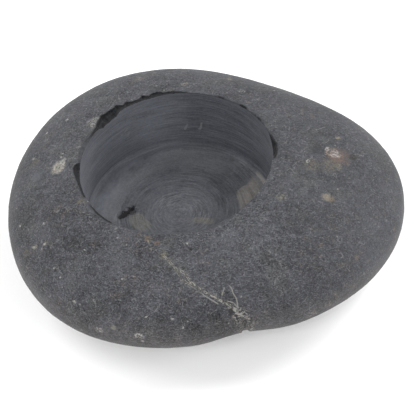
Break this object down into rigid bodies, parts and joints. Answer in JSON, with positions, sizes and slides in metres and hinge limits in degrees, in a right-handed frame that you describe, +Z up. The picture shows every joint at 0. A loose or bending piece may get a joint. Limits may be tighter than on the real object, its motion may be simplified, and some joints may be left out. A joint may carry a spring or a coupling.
{
  "type": "basalt stone tealight holder",
  "caption": "Smooth dark basalt pebble, egg-shaped and rounded, with a round flat-bottomed recess bored into its top to hold a tealight candle.",
  "frame": {"origin": "on the resting flat, under the middle of the pebble's bounding box", "axes": "+Z up along the recess axis, +X along the pebble's length towards its narrower end, +Y across it"},
  "size_m": [0.085, 0.073, 0.0253],
  "materials": {
    "basalt": "matt tumbled basalt, drilled inside the recess"
  },
  "bodies": {
    "root": {"stone_body": "basalt"}
  },
  "joints": []
}
